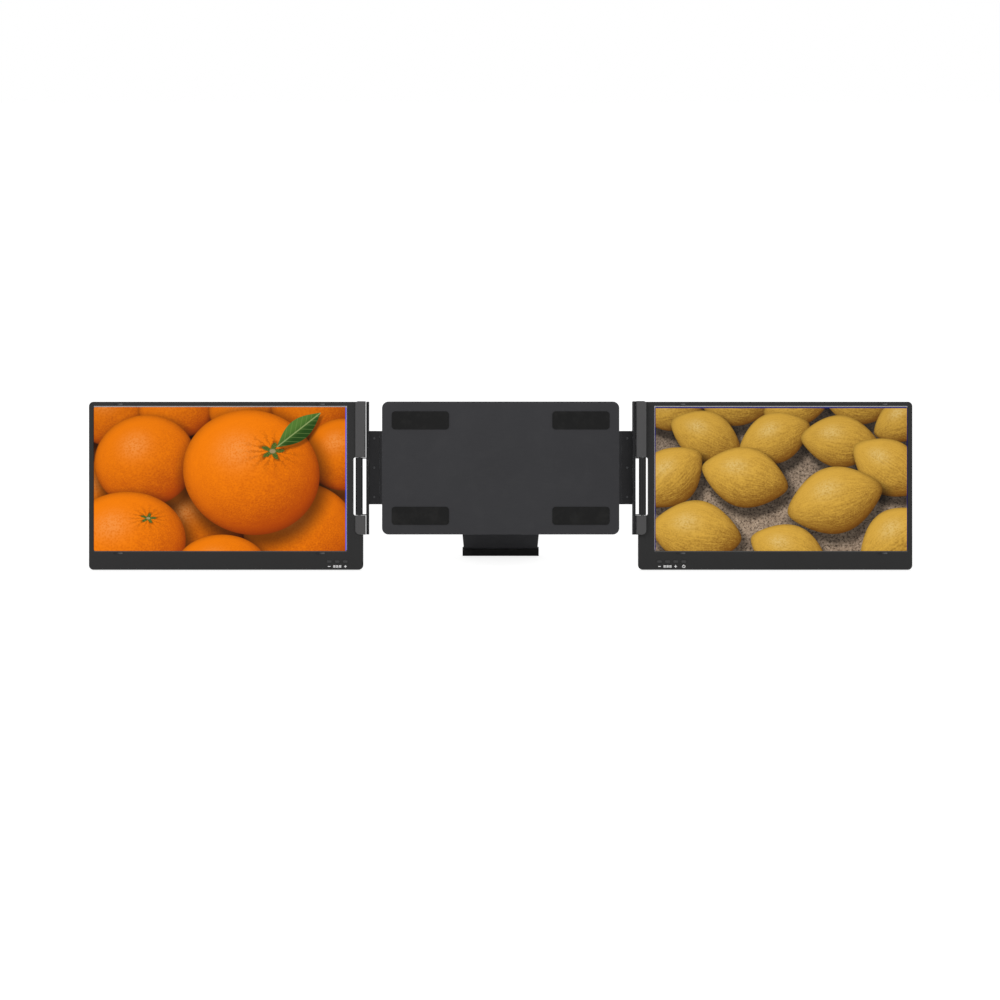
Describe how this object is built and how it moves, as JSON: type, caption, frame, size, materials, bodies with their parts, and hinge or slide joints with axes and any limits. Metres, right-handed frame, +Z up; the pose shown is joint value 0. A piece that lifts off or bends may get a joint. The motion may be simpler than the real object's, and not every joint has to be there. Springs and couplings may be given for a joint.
{
  "type": "laptop screen extender",
  "caption": "Fold-out portable monitors on hinged telescoping arms, with a centre frame that carries a laptop's lid and a kickstand behind.",
  "frame": {"origin": "on the resting surface, under the middle of the overall box", "axes": "+X along the row of screens to the viewer's right, +Y behind the screens, +Z up"},
  "size_m": [1.0068, 0.0855, 0.2044],
  "materials": {
    "dark_metal": "anodised, matt",
    "screen_plastic": "fine grain, matt",
    "trim_plastic": "satin",
    "barrel_plastic": "satin",
    "key_plastic": "satin",
    "rubber": "matt",
    "steel": "plain",
    "plated_steel": "nickel-plated",
    "display": "anti-glare",
    "backlight": "plain",
    "circuit_board": "solder resist"
  },
  "bodies": {
    "centre_frame": {"front_plate": "dark_metal", "rear_cover": "screen_plastic", "lid_pads": "rubber", "guide_studs": "steel", "frame_screws": "steel", "kickstand_pins": "steel", "kickstand_brackets": "dark_metal", "bracket_screws": "steel"},
    "left_arm": {"left_arm_plate": "dark_metal", "left_hinge_bar": "dark_metal", "left_hinge_barrel": "barrel_plastic", "left_hinge_pin": "steel", "left_bar_screws": "steel"},
    "left_screen": {"left_rear_shell": "screen_plastic", "left_front_bezel": "screen_plastic", "left_display_panel": "display", "left_backlight": "backlight", "left_driver_board": "circuit_board", "left_usb_c_ports": "plated_steel", "left_mini_hdmi_port": "plated_steel", "left_key_board": "circuit_board", "left_bumpers": "rubber", "left_hinge_leaves": "steel", "left_leaf_screws": "steel", "left_upper_hinge_cover": "trim_plastic", "left_lower_hinge_cover": "trim_plastic", "left_case_screws": "steel"},
    "left_minus_key": {"left_minus_button": "key_plastic"},
    "left_menu_key": {"left_menu_button": "key_plastic"},
    "left_plus_key": {"left_plus_button": "key_plastic"},
    "right_arm": {"right_arm_plate": "dark_metal", "right_hinge_bar": "dark_metal", "right_hinge_barrel": "barrel_plastic", "right_hinge_pin": "steel", "right_bar_screws": "steel"},
    "right_screen": {"right_rear_shell": "screen_plastic", "right_front_bezel": "screen_plastic", "right_display_panel": "display", "right_backlight": "backlight", "right_driver_board": "circuit_board", "right_usb_c_ports": "plated_steel", "right_mini_hdmi_port": "plated_steel", "right_key_board": "circuit_board", "right_bumpers": "rubber", "right_hinge_leaves": "steel", "right_leaf_screws": "steel", "right_upper_hinge_cover": "trim_plastic", "right_lower_hinge_cover": "trim_plastic", "right_case_screws": "steel"},
    "right_minus_key": {"right_minus_button": "key_plastic"},
    "right_menu_key": {"right_menu_button": "key_plastic"},
    "right_plus_key": {"right_plus_button": "key_plastic"},
    "right_power_key": {"right_power_button": "key_plastic"},
    "kickstand": {"kickstand_leg": "dark_metal", "kickstand_foot": "rubber"}
  },
  "joints": [
    {"name": "left_arm_slide", "type": "slide", "parent": "centre_frame", "child": "left_arm", "axis": [-1, 0, 0], "range_m": [0, 0.035]},
    {"name": "left_screen_hinge", "type": "hinge", "parent": "left_arm", "child": "left_screen", "pos_m": [-0.17315, -0.01418, 0.12271], "axis": [0, 0.2079, 0.9781], "range_deg": [0, 180]},
    {"name": "right_arm_slide", "type": "slide", "parent": "centre_frame", "child": "right_arm", "axis": [1, 0, 0], "range_m": [0, 0.035]},
    {"name": "right_screen_hinge", "type": "hinge", "parent": "right_arm", "child": "right_screen", "pos_m": [0.17315, -0.01931, 0.1238], "axis": [0, -0.2079, -0.9781], "range_deg": [0, 180]},
    {"name": "kickstand_hinge", "type": "hinge", "parent": "centre_frame", "child": "kickstand", "pos_m": [0, 0.00849, 0.14396], "axis": [1, 0, 0], "range_deg": [-24, 30]},
    {"name": "left_minus_press", "type": "slide", "parent": "left_screen", "child": "left_minus_key", "axis": [0, 0.9781, -0.2079], "range_m": [0, 0.00035], "stiffness_N_per_m": 1500, "springref_m": -0.0003},
    {"name": "left_menu_press", "type": "slide", "parent": "left_screen", "child": "left_menu_key", "axis": [0, 0.9781, -0.2079], "range_m": [0, 0.00035], "stiffness_N_per_m": 1500, "springref_m": -0.0003},
    {"name": "left_plus_press", "type": "slide", "parent": "left_screen", "child": "left_plus_key", "axis": [0, 0.9781, -0.2079], "range_m": [0, 0.00035], "stiffness_N_per_m": 1500, "springref_m": -0.0003},
    {"name": "right_minus_press", "type": "slide", "parent": "right_screen", "child": "right_minus_key", "axis": [0, 0.9781, -0.2079], "range_m": [0, 0.00035], "stiffness_N_per_m": 1500, "springref_m": -0.0003},
    {"name": "right_menu_press", "type": "slide", "parent": "right_screen", "child": "right_menu_key", "axis": [0, 0.9781, -0.2079], "range_m": [0, 0.00035], "stiffness_N_per_m": 1500, "springref_m": -0.0003},
    {"name": "right_plus_press", "type": "slide", "parent": "right_screen", "child": "right_plus_key", "axis": [0, 0.9781, -0.2079], "range_m": [0, 0.00035], "stiffness_N_per_m": 1500, "springref_m": -0.0003},
    {"name": "right_power_press", "type": "slide", "parent": "right_screen", "child": "right_power_key", "axis": [0, 0.9781, -0.2079], "range_m": [0, 0.00035], "stiffness_N_per_m": 1500, "springref_m": -0.0003}
  ]
}
